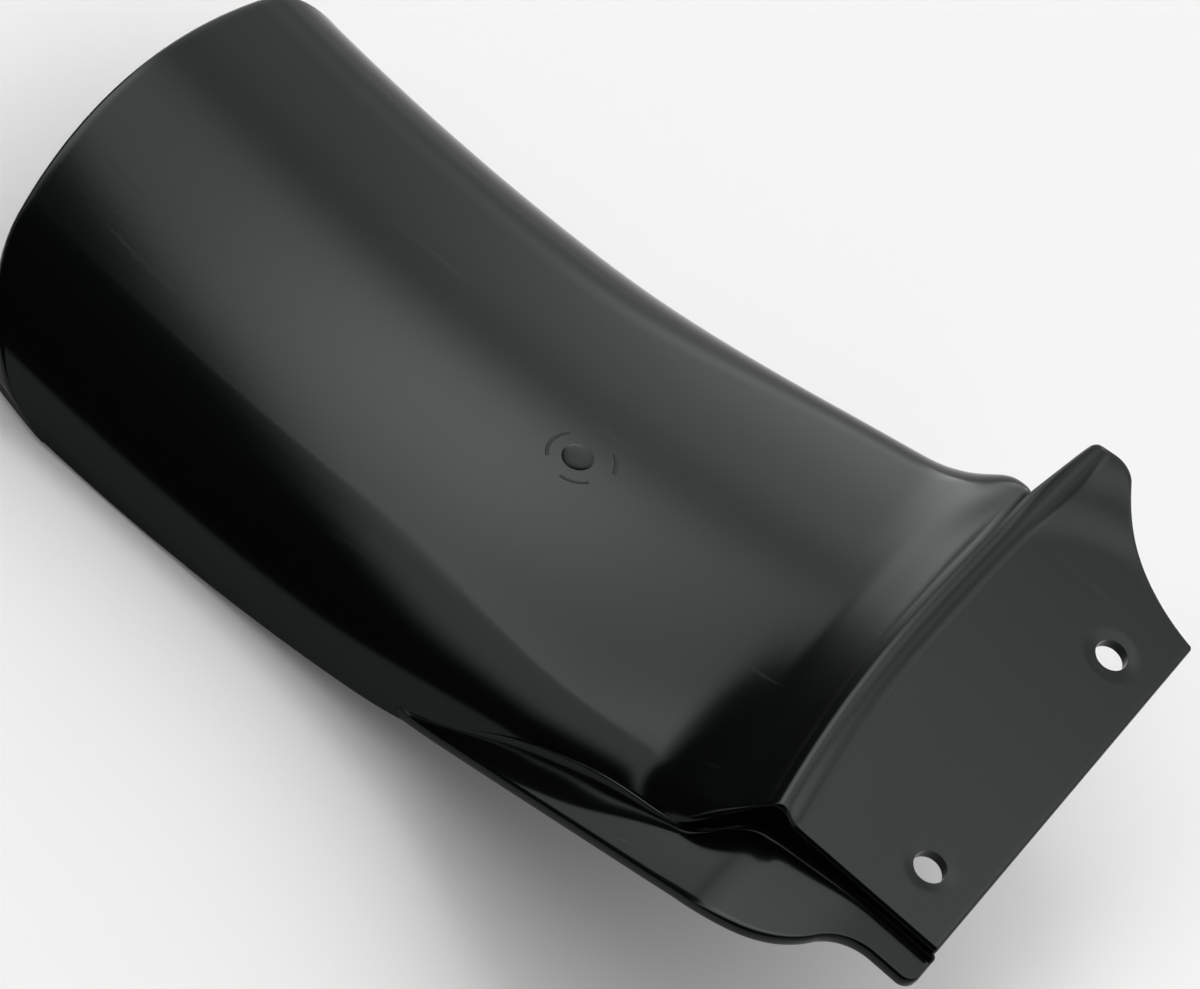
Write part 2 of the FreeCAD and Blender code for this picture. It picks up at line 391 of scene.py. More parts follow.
    def skin(self, x: float, y: float, depth: float) -> float:
        """Height of the crown's skin over a point of the plan.

        Args:
            x: Distance from mid-width.
            y: Distance along the guard.
            depth: How far under the outer skin.

        Returns:
            The skin's height.
        """
        on_wing_side = x < self.bow_centre
        bow = self.bow_wing if on_wing_side else self.bow_ear
        reach = self.plate_half + (self.bow_centre if on_wing_side else -self.bow_centre)
        lag = bow * ((x - self.bow_centre) / reach) ** 2
        lag *= ease((self.crest_y + self.bow_fade - y) / self.bow_fade)
        arch = self.crown_drop * (x / self.shoulder_half) ** 2
        z = self.crown(y + lag, depth)
        z -= arch * ease((y - self.crest_y) / self.crown_drop_length)
        out = math.hypot(x - self.ear_rise_x, y - self.ear_rise_y) - self.ear_rise_from
        rise = self.ear_rise * ease(out / self.ear_rise_length)
        rise *= ease((x - self.ear_rise_x) / self.ear_rise_length)
        z += rise * ease((self.crest_y + self.corner_length - y) / self.corner_length)
        if depth == 0.0 and y < self.crest_y:
            from_hole = math.hypot(abs(x) - self.hole_half, y) - self.hole_radius
            z -= self.dimple_depth * (1.0 - ease(from_hole / (self.dimple_radius - self.hole_radius)))
        return z

    def side(self, y: float, sign: float, depth: float) -> SideLine:
        """Shoulder arc and side wall of one section.

        Args:
            y: Distance along the guard.
            sign: -1 for the wing's side, 1 for the ear's side.
            depth: How far under the outer skin.

        Returns:
            The side's line.
        """
        angle = math.radians(mix(self.plate_wall_angle, self.wall_angle, self.turn_in(y)))
        radius = mix(self.plate_edge_radius, self.shoulder_radius, self.turn_in(y))
        radius += mix(0.0, self.shoulder_growth, (y - self.growth_from) / self.growth_length)
        radius *= radius / (radius + depth)
        half = self.shoulder(y) - depth * math.tan(0.5 * angle)
        probe = self.slope_probe
        start, fall = half, 0.0
        for _settle in range(SETTLE_ROUNDS):
            inward = self.skin(sign * (start - probe), y, depth)
            outward = self.skin(sign * (start + probe), y, depth)
            fall = math.atan2(inward - outward, 2.0 * probe)
            start = half - radius * math.tan(0.5 * (angle - fall)) * math.cos(fall)
        return SideLine(start, self.skin(sign * start, y, depth), fall, angle, radius)

    def end_limit(self, x: float) -> float:
        """Where the rounded free end cuts a line along the guard.

        Args:
            x: Distance from mid-width.

        Returns:
            Distance along the guard of the cut.
        """
        inset = self.edge_round
        radius = self.end_radius - inset
        corner = self.end_corner_radius - inset
        centre_y = self.end_y - self.end_radius
        reach = self.end_radius - self.end_corner_radius
        corner_y = centre_y + math.sqrt(reach**2 - self.end_corner_half**2)
        across = abs(x)
        if across < self.end_corner_half * radius / reach:
            return centre_y + math.sqrt(radius**2 - across**2)
        if across < self.end_corner_half + corner:
            return corner_y + math.sqrt(corner**2 - (across - self.end_corner_half) ** 2)
        run = self.shoulder_half + self.end_run_out - self.end_corner_half - corner
        slope = (corner_y - self.crest_y) / run
        return corner_y - slope * (across - self.end_corner_half - corner)

    def ear_limit(self, y: float) -> float:
        """Half-width of the plate on the ear's side.

        Args:
            y: Distance along the guard.

        Returns:
            Distance of the outline from mid-width.
        """
        inset = self.edge_round
        tip = Vector((self.ear_tip_half, self.ear_tip_y))
        foot = Vector((self.ear_foot_half, self.plate_foot))
        outer = self.ear_waist_radius + self.ear_tip_radius
        gap = (tip - foot).length
        along = (self.ear_waist_radius**2 - outer**2 + gap**2) / (2.0 * gap)
        way = math.atan2(tip.y - foot.y, tip.x - foot.x) - math.acos(along / self.ear_waist_radius)
        waist = foot + self.ear_waist_radius * Vector((math.cos(way), math.sin(way)))
        join_y = tip.y + (waist.y - tip.y) * self.ear_tip_radius / outer
        if y < join_y:
            return waist.x - math.sqrt((self.ear_waist_radius + inset) ** 2 - (y - waist.y) ** 2)
        radius = self.ear_tip_radius - inset
        return tip.x + math.sqrt(max(radius**2 - (y - tip.y) ** 2, 0.0))


@dataclass
class Sheet:
    """A moulded sheet: an outer and an inner skin on one net, closed by a rounded rim."""

    outer: list[Point] = field(default_factory=list)
    inner: list[Point] = field(default_factory=list)
    faces: list[tuple[int, ...]] = field(default_factory=list)

    def add(self, outer: Point, inner: Point) -> int:
        """Adds a point of the net.

        Args:
            outer: Its place on the outer skin.
            inner: Its place on the inner skin.

        Returns:
            Its number.
        """
        self.outer.append(outer)
        self.inner.append(inner)
        return len(self.outer) - 1

    def quads(self, first: list[int], second: list[int]) -> None:
        """Joins two rows of the net by faces.

        Args:
            first: Points of one row.
            second: Points of the next row along the guard.
        """
        for k in range(len(first) - 1):
            self.faces.append((first[k], first[k + 1], second[k + 1], second[k]))

    def rim(self) -> list[tuple[int, int]]:
        """Finds the net's open edges.

        Returns:
            Edges that only one face uses, each in that face's direction.
        """
        used = {edge: True for face in self.faces for edge in zip(face, face[1:] + face[:1])}
        return [(a, b) for a, b in used if (b, a) not in used]

    def mesh(self, name: str, bulge: float, steps: int, squareness: float) -> bpy.types.Mesh:
        """Closed mesh of the sheet, in metres.

        Args:
            name: Name of the mesh.
            bulge: How far the rim stands out, in millimetres.
            steps: Faces across the rim.
            squareness: Power of the rim's rounded section, 2 for half an ellipse.

        Returns:
            The mesh, smooth shaded.
        """
        count = len(self.outer)
        points = [Vector(p) for p in self.outer] + [Vector(p) for p in self.inner]
        faces = list(self.faces)
        faces += [tuple(count + v for v in reversed(face)) for face in self.faces]
        edges = self.rim()
        after = dict(edges)
        before = {b: a for a, b in edges}
        ladder: dict[int, list[int]] = {}
        for a in after:
            along = points[after[a]] - points[before[a]]
            thick = points[a] - points[count + a]
            out = along.cross(thick).normalized() * bulge
            middle = 0.5 * (points[a] + points[count + a])
            rungs = [a]
            for k in range(1, steps):
                turn = math.pi * k / steps
                up = math.copysign(abs(math.cos(turn)) ** (2.0 / squareness), math.cos(turn))
                points.append(middle + 0.5 * up * thick + out * math.sin(turn) ** (2.0 / squareness))
                rungs.append(len(points) - 1)
            rungs.append(count + a)
            ladder[a] = rungs
        for a, b in edges:
            for k in range(steps):
                faces.append((ladder[b][k], ladder[a][k], ladder[a][k + 1], ladder[b][k + 1]))
        mesh = bpy.data.meshes.new(name)
        mesh.from_pydata([p * MM for p in points], [], faces)
        mesh.update()
        mesh.shade_smooth()
        return mesh


@dataclass
class MouldedShell:
    """Plate, crest, ear and body: the main sheet of the guard."""

    form: GuardForm
    wall_spaces: int = 10
    arc_spaces: int = 14
    crown_spaces: int = 96
    ear_spaces: int = 30
    plate_rows: int = 28
    crest_rows: int = 34
    curl_rows: int = 30
    body_rows: int = 62
    end_rows: int = 30
    crest_zone: float = 21.0
    curl_zone: float = 60.0
    end_zone: float = 172.0
    curl_crowding: float = 1.4
    rim_steps: int = 8
    rim_squareness: float = 2.6
    sheet: Sheet = field(default_factory=Sheet)

    def stations(self) -> tuple[list[float], list[float], list[float]]:
        """Places of the net's rows.

        Returns:
            Distances on the flange and on the body, and shares of the free end.
        """
        form = self.form
        foot = form.plate_foot + form.edge_round
        flange = [foot + (self.crest_zone - foot) * k / self.plate_rows for k in range(self.plate_rows)]
        crest = form.crest_y - self.crest_zone
        flange += [self.crest_zone + crest * k / self.crest_rows for k in range(self.crest_rows)]
        curl = self.curl_zone - form.crest_y
        body = [
            form.crest_y + curl * (k / self.curl_rows) ** self.curl_crowding for k in range(self.curl_rows)
        ]
        length = self.end_zone - self.curl_zone
        body += [self.curl_zone + length * k / self.body_rows for k in range(self.body_rows + 1)]
        return flange, body, [k / self.end_rows for k in range(1, self.end_rows + 1)]

    def side_points(self, y: float, sign: float, depth: float) -> list[Pair]:
        """Points of one side of a section, from the crown to the foot.

        Args:
            y: Distance along the guard.
            sign: -1 for the wing's side, 1 for the ear's side.
            depth: How far under the outer skin.

        Returns:
            Signed distance from mid-width and height of each point.
        """
        line = self.form.side(y, sign, depth)
        foot = self.form.lower_edge(y) + self.form.edge_round
        points = [line.on_arc(k / self.arc_spaces) for k in range(self.arc_spaces + 1)]
        points += [line.on_wall(k / self.wall_spaces, foot) for k in range(1, self.wall_spaces + 1)]
        return [(sign * x, z) for x, z in points]

    def section(self, y: float, depth: float) -> list[Pair]:
        """Points across one section, from the wing side's foot to the ear side's foot.

        Args:
            y: Distance along the guard.
            depth: How far under the outer skin.

        Returns:
            Signed distance from mid-width and height of each point.
        """
        left = self.side_points(y, -1.0, depth)
        right = self.side_points(y, 1.0, depth)
        first, last = left[0][0], right[0][0]
        xs = [first + (last - first) * k / self.crown_spaces for k in range(1, self.crown_spaces)]
        return left[::-1] + [(x, self.form.skin(x, y, depth)) for x in xs] + right

    def place(self, point: Pair, y: float) -> Point:
        """A point of a section in the part's frame, whose zero is the seat face."""
        return point[0], y, point[1] + self.form.wall

    def row(self, y: float, columns: int) -> list[int]:
        """Adds one straight row of the net.

        Args:
            y: Distance along the guard.
            columns: How many points of the section, from the wing's side.

        Returns:
            Numbers of the points.
        """
        outer = self.section(y, 0.0)[:columns]
        inner = self.section(y, self.form.wall)[:columns]
        return [self.sheet.add(self.place(o, y), self.place(i, y)) for o, i in zip(outer, inner)]

    def end_row(self, share: float) -> list[int]:
        """Adds one row that bends to the free end's outline.

        Args:
            share: 0 at the start of the free end, 1 on its outline.

        Returns:
            Numbers of the points.
        """
        skins = []
        for depth in (0.0, self.form.wall):
            start = self.section(self.end_zone, depth)
            points = []
            for k, (x, z) in enumerate(start):
                y = self.end_zone
                for _settle in range(SETTLE_ROUNDS):
                    y = self.end_zone + share * (self.form.end_limit(x) - self.end_zone)
                    x, z = self.point(k, y, depth)
                points.append(self.place((x, z), y))
            skins.append(points)
        return [self.sheet.add(o, i) for o, i in zip(*skins)]

    def point(self, column: int, y: float, depth: float) -> Pair:
        """One point of a section.

        Args:
            column: Its number, from the wing side's foot.
            y: Distance along the guard.
            depth: How far under the outer skin.

        Returns:
            Signed distance from mid-width and height.
        """
        side = self.arc_spaces + self.wall_spaces
        if column <= side:
            return self.side_points(y, -1.0, depth)[side - column]
        if column >= side + self.crown_spaces:
            return self.side_points(y, 1.0, depth)[column - side - self.crown_spaces]
        first = -self.form.side(y, -1.0, depth).start
        last = self.form.side(y, 1.0, depth).start
        x = first + (last - first) * (column - side) / self.crown_spaces
        return x, self.form.skin(x, y, depth)

    def ear_row(self, y: float) -> list[int]:
        """Adds the ear's part of a flange row, past the shared columns.

        Args:
            y: Distance along the guard of the row at the plate.

        Returns:
            Numbers of the points.
        """
        form = self.form
        foot = form.plate_foot + form.edge_round
        fit = (y - foot) / (form.crest_y - foot)
        tip_top = form.ear_tip_y + form.ear_tip_radius - form.edge_round
        edge_y = foot + fit * (tip_top - foot)
        edge = form.ear_limit(edge_y)
        start = form.side(y, 1.0, 0.0).start
        numbers = []
        for k in range(1, self.ear_spaces + 1):
            share = k / self.ear_spaces
            x = start + (edge - start) * share
            at = y + (edge_y - y) * share
            outer = self.place((x, form.skin(x, at, 0.0)), at)
            inner = self.place((x, form.skin(x, at, form.wall)), at)
            numbers.append(self.sheet.add(outer, inner))
        return numbers

    def build(self) -> bpy.types.Object:
        """Makes the sheet's mesh and object.

        Returns:
            The shell, with no holes yet.
        """
        flange, body, ends = self.stations()
        shared = self.arc_spaces + self.wall_spaces + self.crown_spaces + 1
        full = shared + self.arc_spaces + self.wall_spaces
        rows = [self.row(y, shared) for y in flange]
        ears = [[row[-1]] + self.ear_row(y) for y, row in zip(flange, rows)]
        wide = [self.row(y, full) for y in body]
        wide += [self.end_row(share) for share in ends]
        rows.append(wide[0][:shared])
        ears.append([wide[0][shared - 1]] + self.ear_row(body[0]))
        for net in (rows, ears, wide):
            for first, second in zip(net, net[1:]):
                self.sheet.quads(first, second)
        mesh = self.sheet.mesh("moulded_shell", self.form.edge_round, self.rim_steps, self.rim_squareness)
        return put("moulded_shell", mesh)


@dataclass
class FixingHoles:
    """The two screw holes through the plate. The cutter's reach counts in walls."""

    form: GuardForm
    sides: int = 72
    reach_under: float = 2.0
    reach_over: float = 3.0
    sharp_angle: float = 50.0

    def cutter(self) -> bpy.types.Object:
        """Makes both holes as one cutting body.

        Returns:
            The body.
        """
        wall, radius = self.form.wall, self.form.hole_radius
        points: list[Vector] = []
        faces: list[tuple[int, ...]] = []
        for sign in (-1.0, 1.0):
            base = len(points)
            for z in (-self.reach_under * wall, self.reach_over * wall):
                for k in range(self.sides):
                    turn = 2.0 * math.pi * k / self.sides
                    x = sign * self.form.hole_half + radius * math.cos(turn)
                    points.append(Vector((x, radius * math.sin(turn), z)) * MM)
            ring = list(range(self.sides))
            faces.append(tuple(base + k for k in reversed(ring)))
            faces.append(tuple(base + self.sides + k for k in ring))
            for k in ring:
                n = (k + 1) % self.sides
                faces.append((base + k, base + n, base + self.sides + n, base + self.sides + k))
        mesh = bpy.data.meshes.new("hole_cutter")
        mesh.from_pydata(points, [], faces)
        mesh.update()
        return put("hole_cutter", mesh)

    def cut(self, shell: bpy.types.Object) -> None:
        """Cuts the holes in the shell and keeps their edges crisp.

        Args:
            shell: The piece to cut.
        """
        cutter = self.cutter()
        modifier = shell.modifiers.new("holes", "BOOLEAN")
        modifier.operation = "DIFFERENCE"
        modifier.solver = "EXACT"
        modifier.object = cutter
        mesh = make_plain(shell, modifier)
        bpy.data.objects.remove(cutter)
        mesh.set_sharp_from_angle(angle=math.radians(self.sharp_angle))


@dataclass
class SideWing:
    """The lower sheet beside the plate, folded down along the body's side."""

    form: GuardForm
    overhang: float = 0.7
    foot_half: float = 54.4
    corner_radius: float = 3.0
    waist_radius: float = 12.0
    lobe_half: float = 48.3
    lobe_y: float = 27.5
    lobe_radius: float = 23.3
    fillet: float = 1.2
    tail_fillet: float = 7.0
    tail_from: float = 36.0
    tail_length: float = 30.0
    tail_fade: float = 0.1
    tail_fade_from: float = 68.0
    tail_gap: float = 1.0
    root_overlap: float = 0.3
    rise: float = 0.036
    lift_reach: float = 0.77
    rows: int = 150
    row_crowding: float = 1.25
    columns: int = 34
    column_crowding: float = 1.6
    rim_steps: int = 8
    rim_squareness: float = 2.6
    sheet: Sheet = field(default_factory=Sheet)

    @property
    def last(self) -> float:
        """Distance along the guard where the wing's tail ends."""
        return self.form.wing_tail_y - self.tail_gap

    def wall_x(self, y: float, depth: float, rise: float) -> float:
        """Where the side wall stands at the wing's height.

        Args:
            y: Distance along the guard.
            depth: How far under the wall's outer skin.
            rise: Height over the lower edge.

        Returns:
            Signed distance from mid-width.
        """
        line = self.form.side(y, -1.0, depth)
        x, z = line.on_arc(1.0)
        return -(x + (z - self.form.lower_edge(y) - rise) / math.tan(line.angle))

    def limit(self, y: float) -> float:
        """Outline of the wing, before its lift.

        Args:
            y: Distance along the guard.

        Returns:
            Signed distance from mid-width.
        """
        inset = self.form.edge_round
        corner_x = -self.foot_half + self.corner_radius
        corner_y = self.form.plate_foot - self.overhang + self.corner_radius
        corner_radius = self.corner_radius - inset
        lobe = Vector((-self.lobe_half, self.lobe_y))
        waist_x = -self.foot_half - self.waist_radius
        reach = self.lobe_radius + self.waist_radius
        waist = Vector((waist_x, self.lobe_y - math.sqrt(reach**2 - (waist_x - lobe.x) ** 2)))
        if y < corner_y:
            return corner_x - math.sqrt(max(corner_radius**2 - (y - corner_y) ** 2, 0.0))
        if y < waist.y:
            return corner_x - corner_radius
        if y < lobe.y + (waist.y - lobe.y) * self.lobe_radius / reach:
            return waist.x + math.sqrt((self.waist_radius + inset) ** 2 - (y - waist.y) ** 2)
        radius = self.lobe_radius - inset
        tail_y = self.form.wing_tail_y
        tail = Vector((self.wall_x(tail_y, 0.5 * self.form.wall, 0.0), tail_y))
        way = tail - lobe
        turn = math.atan2(way.y, way.x) + math.acos(radius / way.length)
        touch = lobe + radius * Vector((math.cos(turn), math.sin(turn)))
        if y < touch.y:
            return lobe.x - math.sqrt(radius**2 - (y - lobe.y) ** 2)
        return touch.x + (tail.x - touch.x) * (y - touch.y) / (tail.y - touch.y)

    def row(self, y: float) -> list[int]:
        """Adds one row of the net, with the round that leads into the side wall.

        Args:
            y: Distance along the guard.

        Returns:
            Numbers of the points, from the outline to the wall.
        """
        form = self.form
        outside = self.limit(y) - self.lift_reach * form.lift(y)
        foot = self.wall_x(y, 0.0, form.wall)
        angle = form.side(y, -1.0, 0.0).angle
        fillet = mix(self.fillet, self.tail_fillet, (y - self.tail_from) / self.tail_length)
        fillet *= mix(1.0, self.tail_fade, (y - self.tail_fade_from) / (self.last - self.tail_fade_from))
        touch = fillet / math.tan(0.5 * (math.pi - angle))
        width = fillet * math.sin(angle)
        inside = foot + width - touch + self.root_overlap
        numbers = []
        for k in range(self.columns + 1):
            share = 1.0 - (1.0 - k / self.columns) ** self.column_crowding
            x = outside + (inside - outside) * share
            near = min(max(touch - (foot - x), 0.0), width)
            lift = fillet - math.sqrt(fillet**2 - near**2)
            low = form.lower_edge(y) + self.rise * max(foot - x, 0.0) + form.wall
            numbers.append(self.sheet.add((x, y, low + lift + form.wall), (x, y, low)))
        return numbers

    def build(self) -> bpy.types.Object:
        """Makes the wing's mesh and object.

        Returns:
            The wing, let into the side wall.
        """
        first = self.form.plate_foot - self.overhang + self.form.edge_round
        length = self.last - first
        shares = [(j / self.rows) ** self.row_crowding for j in range(self.rows + 1)]
        net = [self.row(first + length * share) for share in shares]
        for lower, upper in zip(net, net[1:]):
            self.sheet.quads(lower, upper)
        mesh = self.sheet.mesh("side_wing", self.form.edge_round, self.rim_steps, self.rim_squareness)
        return put("side_wing", mesh)


@dataclass
class GateMark:
    """Mark of the moulding gate: low broken rings and a nub, laid on the body by a node tree.

    Each arc gives its start and sweep in degrees, and its radius as a share of the ring's.
    """

    y: float = 105.0
    ring_radius: float = 6.2
    ring_width: float = 0.8
    nub_radius: float = 3.3
    height: float = 0.42
    arcs: tuple[tuple[float, float, float], ...] = (
        (50.0, 80.0, 1.0),
        (180.0, 55.0, 1.0),
        (282.0, 40.0, 1.25),
    )
    arc_points: int = 32
    bead_sides: int = 12
    nub_segments: int = 32
    nub_rings: int = 12
    probe: float = 60.0

    def tree(self) -> bpy.types.GeometryNodeTree:
        """Node tree that lays broken rings and a nub on a surface.

        Returns:
            The tree, with named inputs for its sizes.
        """
        tree = bpy.data.node_groups.new("gate_mark", "GeometryNodeTree")
        face = tree.interface
        face.new_socket("Geometry", in_out="OUTPUT", socket_type="NodeSocketGeometry")
        face.new_socket("Surface", in_out="INPUT", socket_type="NodeSocketObject")
        face.new_socket("Centre", in_out="INPUT", socket_type="NodeSocketVector")
        for name in ("Ring Radius", "Ring Width", "Nub Radius", "Height", "Probe"):
            face.new_socket(name, in_out="INPUT", socket_type="NodeSocketFloat")
        face.new_socket("Material", in_out="INPUT", socket_type="NodeSocketMaterial")
        into = tree.nodes.new("NodeGroupInput")
        size = into.outputs
        sphere = {"Segments": self.nub_segments, "Rings": self.nub_rings, "Radius": size["Nub Radius"]}
        nub = add_node(tree, "GeometryNodeMeshUVSphere", sphere)
        both = tree.nodes.new("GeometryNodeJoinGeometry")
        tree.links.new(self.beads(tree, into), both.inputs["Geometry"])
        tree.links.new(nub.outputs["Mesh"], both.inputs["Geometry"])
        ratio = add_math(tree, "DIVIDE", size["Height"], size["Nub Radius"])
        squash = add_node(tree, "ShaderNodeCombineXYZ", {"X": 1.0, "Y": 1.0, "Z": ratio})
        flatten = {"Geometry": both.outputs["Geometry"], "Scale": squash.outputs["Vector"]}
        flat = add_node(tree, "GeometryNodeTransform", flatten)
        move = {"Geometry": flat.outputs["Geometry"], "Translation": size["Centre"]}
        moved = add_node(tree, "GeometryNodeTransform", move)
        laid = self.lay(tree, into, moved.outputs["Geometry"])
        real = add_node(tree, "GeometryNodeRealizeInstances", {"Geometry": laid})
        finish = {"Geometry": real.outputs["Geometry"], "Material": size["Material"]}
        painted = add_node(tree, "GeometryNodeSetMaterial", finish)
        add_node(tree, "NodeGroupOutput", {"Geometry": painted.outputs["Geometry"]})
        return tree

    def beads(self, tree: bpy.types.GeometryNodeTree, into: bpy.types.Node) -> bpy.types.NodeSocket:
        """Adds the nodes of the broken rings.

        Args:
            tree: The tree to add to.
            into: Its group input.

        Returns:
            The rings as round beads.
        """
        rings = tree.nodes.new("GeometryNodeJoinGeometry")
        for start, sweep, share in self.arcs:
            line = {
                "Resolution": self.arc_points,
                "Radius": add_math(tree, "MULTIPLY", into.outputs["Ring Radius"], share),
                "Start Angle": math.radians(start),
                "Sweep Angle": math.radians(sweep),
            }
            arc = add_node(tree, "GeometryNodeCurveArc", line)
            tree.links.new(arc.outputs["Curve"], rings.inputs["Geometry"])
        half = add_math(tree, "MULTIPLY", into.outputs["Ring Width"], 0.5)
        circle = {"Resolution": self.bead_sides, "Radius": half}
        profile = add_node(tree, "GeometryNodeCurvePrimitiveCircle", circle)
        sweep_along = {
            "Curve": rings.outputs["Geometry"],
            "Profile Curve": profile.outputs["Curve"],
            "Fill Caps": True,
        }
        return add_node(tree, "GeometryNodeCurveToMesh", sweep_along).outputs["Mesh"]

    @staticmethod
    def lay(
        tree: bpy.types.GeometryNodeTree, into: bpy.types.Node, geometry: bpy.types.NodeSocket
    ) -> bpy.types.NodeSocket:
        """Adds the nodes that drop each point on the surface below it.

        Args:
            tree: The tree to add to.
            into: Its group input.
            geometry: What is laid, standing about its own zero height.

        Returns:
            The laid geometry.
        """
        surface = add_node(tree, "GeometryNodeObjectInfo", {"Object": into.outputs["Surface"]})
        where = tree.nodes.new("GeometryNodeInputPosition").outputs["Position"]
        at = add_node(tree, "ShaderNodeSeparateXYZ", {"Vector": where}).outputs
        over = {"X": at["X"], "Y": at["Y"], "Z": into.outputs["Probe"]}
        above = add_node(tree, "ShaderNodeCombineXYZ", over)
        down = {
            "Target Geometry": surface.outputs["Geometry"],
            "Source Position": above.outputs["Vector"],
            "Ray Direction": (0.0, 0.0, -1.0),
        }
        ray = add_node(tree, "GeometryNodeRaycast", down)
        hit = add_node(tree, "ShaderNodeSeparateXYZ", {"Vector": ray.outputs["Hit Position"]})
        height = add_math(tree, "ADD", hit.outputs["Z"], at["Z"])
        spot = add_node(tree, "ShaderNodeCombineXYZ", {"X": at["X"], "Y": at["Y"], "Z": height})
        drop = {"Geometry": geometry, "Position": spot.outputs["Vector"]}
        return add_node(tree, "GeometryNodeSetPosition", drop).outputs["Geometry"]

    def build(self, shell: bpy.types.Object, material: bpy.types.Material) -> bpy.types.Object:
        """Lays the mark on the body.

        Args:
            shell: The body it lies on.
            material: Its finish.

        Returns:
            The mark as a plain mesh.
        """
        mark = put("gate_mark", bpy.data.meshes.new("gate_mark_seed"))
        tree = self.tree()
        modifier = mark.modifiers.new("lay", "NODES")
        modifier.node_group = tree
        values = {
            "Surface": shell,
            "Centre": (0.0, self.y * MM, 0.0),
            "Ring Radius": self.ring_radius * MM,
            "Ring Width": self.ring_width * MM,
            "Nub Radius": self.nub_radius * MM,
            "Height": self.height * MM,
            "Probe": self.probe * MM,
            "Material": material,
        }
        for item in tree.interface.items_tree:
            if item.in_out == "INPUT":
                modifier[item.identifier] = values[item.name]
        make_plain(mark, modifier)
        return mark


class Effects:
    """Shader node groups that the finishes share."""

    WAVE_DETAIL = 1.0
    PEEL_DETAIL = 2.0
    SMEAR_DETAIL = 4.0
    SMEAR_DISTORTION = 0.6
    SCUFF_DETAIL = 3.0
    SCUFF_STRETCH = (3.0, 0.16, 1.0)
    SCUFF_RANGE = (0.66, 0.78)

    def __init__(self) -> None:
        """Builds each group once."""
        self.skin = self.moulded_skin()
        self.handling = self.handling_marks()

    @staticmethod
    def group(name: str, inputs: dict[str, float], outputs: list[str]) -> bpy.types.ShaderNodeTree:
        """Makes an empty group.

        Args:
            name: Its name.
            inputs: Its value inputs, with their defaults.
            outputs: Its value outputs.

        Returns:
            The group.
        """
        tree = bpy.data.node_groups.new(name, "ShaderNodeTree")
        for label, value in inputs.items():
            socket = tree.interface.new_socket(label, in_out="INPUT", socket_type="NodeSocketFloat")
            socket.default_value = value
        tree.interface.new_socket("Vector", in_out="INPUT", socket_type="NodeSocketVector")
        for label in outputs:
            tree.interface.new_socket(label, in_out="OUTPUT", socket_type="NodeSocketFloat")
        return tree

    def moulded_skin(self) -> bpy.types.ShaderNodeTree:
        """Height of a moulded skin: slow waviness under a fine orange peel.

        Returns:
            The group.
        """
        sizes = {"Wave Scale": 30.0, "Peel Scale": 900.0, "Peel Share": 0.2}
        tree = self.group("moulded_skin", sizes, ["Height"])
        into = tree.nodes.new("NodeGroupInput").outputs
        noises = []
        for scale, detail in (("Wave Scale", self.WAVE_DETAIL), ("Peel Scale", self.PEEL_DETAIL)):
            noise = {"Vector": into["Vector"], "Scale": into[scale], "Detail": detail}
            noises.append(add_node(tree, "ShaderNodeTexNoise", noise).outputs["Fac"])
        wave, peel = noises
        height = add_math(tree, "MULTIPLY_ADD", peel, into["Peel Share"], wave)
        add_node(tree, "NodeGroupOutput", {"Height": height})
        return tree

    def handling_marks(self) -> bpy.types.ShaderNodeTree:
        """Roughness of a handled gloss skin: faint smears and fine drawn scuffs.

        Returns:
            The group.
        """
        sizes = {
            "Gloss Roughness": 0.2,
            "Smear": 0.05,
            "Scuff": 0.06,
            "Smear Scale": 22.0,
            "Scuff Scale": 140.0,
        }
        tree = self.group("handling_marks", sizes, ["Roughness", "Mask"])
        into = tree.nodes.new("NodeGroupInput").outputs
        cloudy = {
            "Vector": into["Vector"],
            "Scale": into["Smear Scale"],
            "Detail": self.SMEAR_DETAIL,
            "Distortion": self.SMEAR_DISTORTION,
        }
        smear = add_node(tree, "ShaderNodeTexNoise", cloudy).outputs["Fac"]
        stretch = add_node(tree, "ShaderNodeMapping", {"Vector": into["Vector"], "Scale": self.SCUFF_STRETCH})
        drawn = {
            "Vector": stretch.outputs["Vector"],
            "Scale": into["Scuff Scale"],
            "Detail": self.SCUFF_DETAIL,
        }
        scuff = add_node(tree, "ShaderNodeTexNoise", drawn).outputs["Fac"]
        low, high = self.SCUFF_RANGE
        sharpen = {"Value": scuff, "From Min": low, "From Max": high}
        mask = add_node(tree, "ShaderNodeMapRange", sharpen).outputs["Result"]
        smeared = add_math(tree, "MULTIPLY_ADD", smear, into["Smear"], into["Gloss Roughness"])
        rough = add_math(tree, "MULTIPLY_ADD", mask, into["Scuff"], smeared)
        add_node(tree, "NodeGroupOutput", {"Roughness": rough, "Mask": mask})
        return tree


